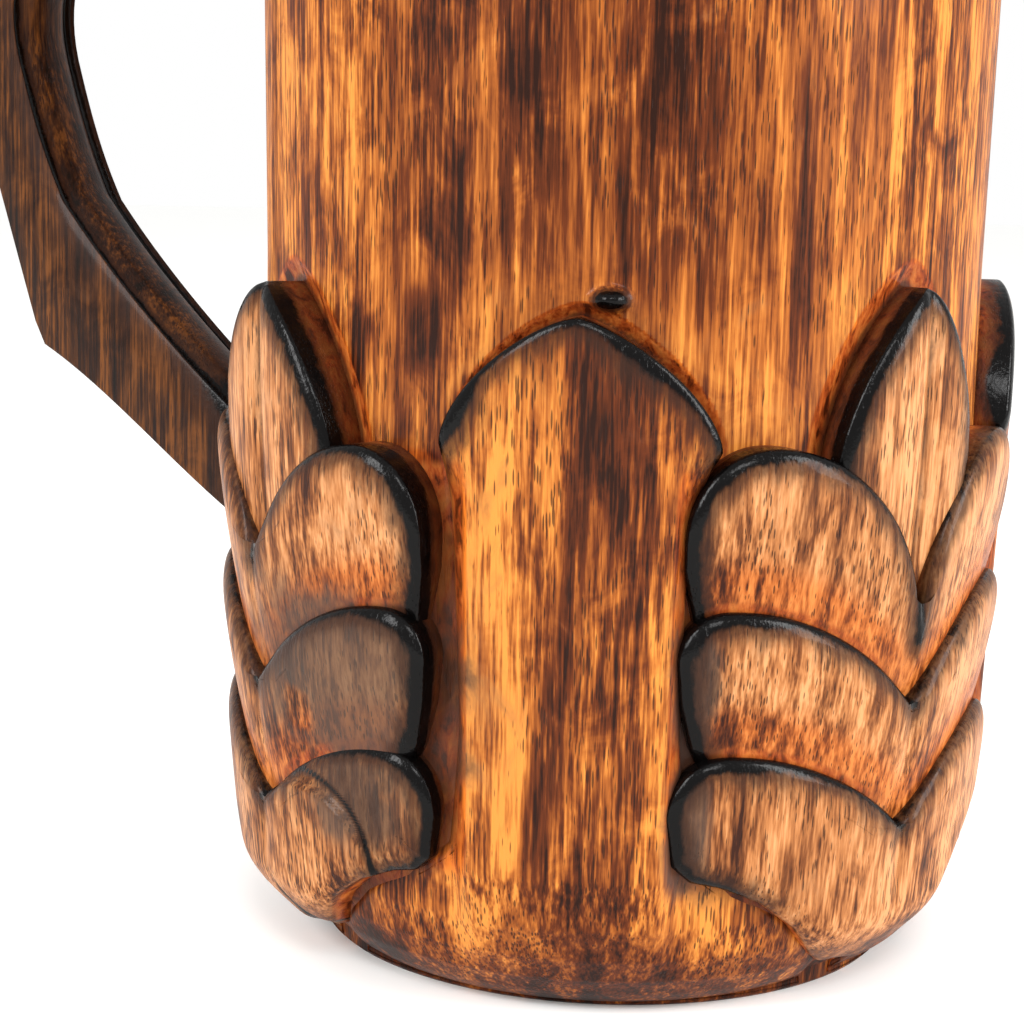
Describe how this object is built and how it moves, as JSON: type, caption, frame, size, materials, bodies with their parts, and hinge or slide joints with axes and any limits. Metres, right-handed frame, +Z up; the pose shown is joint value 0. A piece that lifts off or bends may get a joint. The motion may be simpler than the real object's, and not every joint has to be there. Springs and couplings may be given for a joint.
{
  "type": "carved wooden mug",
  "caption": "Tall round wooden drinking mug with a band of carved leaves and overlapping scales round its foot and a bowed side handle.",
  "frame": {"origin": "on the mug's axis, on the plane of the standing face", "axes": "+Z up along the mug's axis; the handle is on the -X side; +Y is across the handle"},
  "size_m": [0.1581, 0.0994, 0.165],
  "materials": {
    "body_wood": "oiled and lacquered, charred edges",
    "plug_wood": "oiled",
    "handle_wood": "oiled and lacquered, charred edges",
    "dowel_wood": "bare"
  },
  "bodies": {
    "root": {"mug_body": "body_wood", "base_plug": "plug_wood", "handle": "handle_wood", "upper_dowel": "dowel_wood", "lower_dowel": "dowel_wood"}
  },
  "joints": []
}
